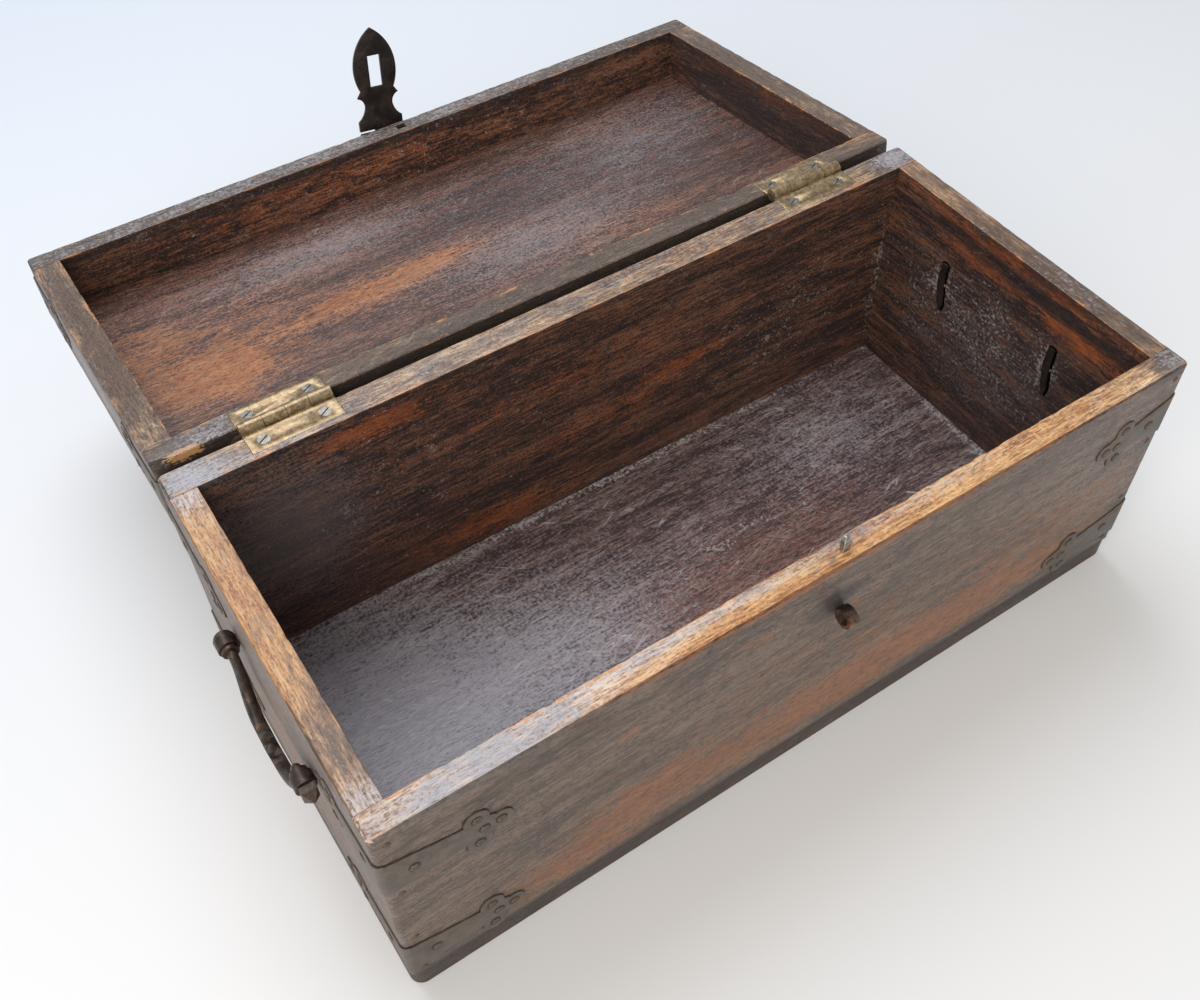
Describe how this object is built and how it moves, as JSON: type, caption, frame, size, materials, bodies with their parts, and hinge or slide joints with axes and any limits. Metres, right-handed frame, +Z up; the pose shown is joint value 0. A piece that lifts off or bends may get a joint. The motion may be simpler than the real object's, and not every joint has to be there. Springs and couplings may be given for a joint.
{
  "type": "storage chest",
  "caption": "Small wooden storage chest bound with iron corner straps, its hinged lid tipped back open, with a pointed hasp, a staple and drop handles at the ends.",
  "frame": {"origin": "centre of the underside of the chest's body, where it stands", "axes": "+X along the length to the right as seen from the front, +Y to the back where the hinges are, +Z up"},
  "size_m": [0.5086, 0.4995, 0.1976],
  "materials": {
    "chest_wood": "dark stained, worn and dusty",
    "lid_wood": "dark stained outside, redder inside, worn",
    "brass": "aged, dull, bright at its edges",
    "strap_iron": "forged sheet iron, dark brown, dusty",
    "nail_iron": "forged, dark, rusted",
    "forged_iron": "forged, brown-black, dull",
    "hasp_iron": "forged plate, near black, rusty at the tip"
  },
  "bodies": {
    "chest": {"bottom_board": "chest_wood", "front_board": "chest_wood", "back_board": "chest_wood", "left_end_board": "chest_wood", "right_end_board": "chest_wood", "locating_pin": "forged_iron", "staple": "forged_iron", "upper_strap_front_left": "strap_iron", "upper_strap_front_right": "strap_iron", "upper_strap_back_left": "strap_iron", "upper_strap_back_right": "strap_iron", "lower_strap_front_left": "strap_iron", "lower_strap_front_right": "strap_iron", "lower_strap_back_left": "strap_iron", "lower_strap_back_right": "strap_iron", "chest_strap_nails": "nail_iron", "chest_board_nails": "nail_iron", "left_chest_leaf": "brass", "right_chest_leaf": "brass", "left_hinge_pin": "brass", "right_hinge_pin": "brass", "chest_hinge_screws": "brass", "left_handle_eye_front": "forged_iron", "left_handle_eye_back": "forged_iron", "right_handle_eye_front": "forged_iron", "right_handle_eye_back": "forged_iron"},
    "lid": {"lid_top_board": "lid_wood", "lid_front_board": "lid_wood", "lid_back_board": "lid_wood", "lid_left_end_board": "lid_wood", "lid_right_end_board": "lid_wood", "lid_strap_front_left": "strap_iron", "lid_strap_front_right": "strap_iron", "lid_strap_back_left": "strap_iron", "lid_strap_back_right": "strap_iron", "lid_strap_nails": "nail_iron", "lid_board_nails": "nail_iron", "left_lid_leaf": "brass", "right_lid_leaf": "brass", "lid_hinge_screws": "brass", "hasp_plate": "hasp_iron", "hasp_pin": "hasp_iron", "hasp_plate_nails": "nail_iron"},
    "hasp": {"hasp": "hasp_iron"},
    "left_handle": {"left_handle": "forged_iron"},
    "right_handle": {"right_handle": "forged_iron"}
  },
  "joints": [
    {"name": "lid_hinge", "type": "hinge", "parent": "chest", "child": "lid", "pos_m": [0, 0.1191, 0.1667], "axis": [1, 0, 0], "range_deg": [0, 187.1]},
    {"name": "hasp_hinge", "type": "hinge", "parent": "lid", "child": "hasp", "pos_m": [0.0012, 0.35432, 0.12884], "axis": [-0.9921, 0.0155, 0.1244], "range_deg": [-9.5, 145]},
    {"name": "left_handle_swing", "type": "hinge", "parent": "chest", "child": "left_handle", "pos_m": [-0.2478, 0, 0.1112], "axis": [0, 1, 0], "range_deg": [-7, 165]},
    {"name": "right_handle_swing", "type": "hinge", "parent": "chest", "child": "right_handle", "pos_m": [0.2478, 0, 0.1112], "axis": [0, -1, 0], "range_deg": [-7, 165]}
  ]
}
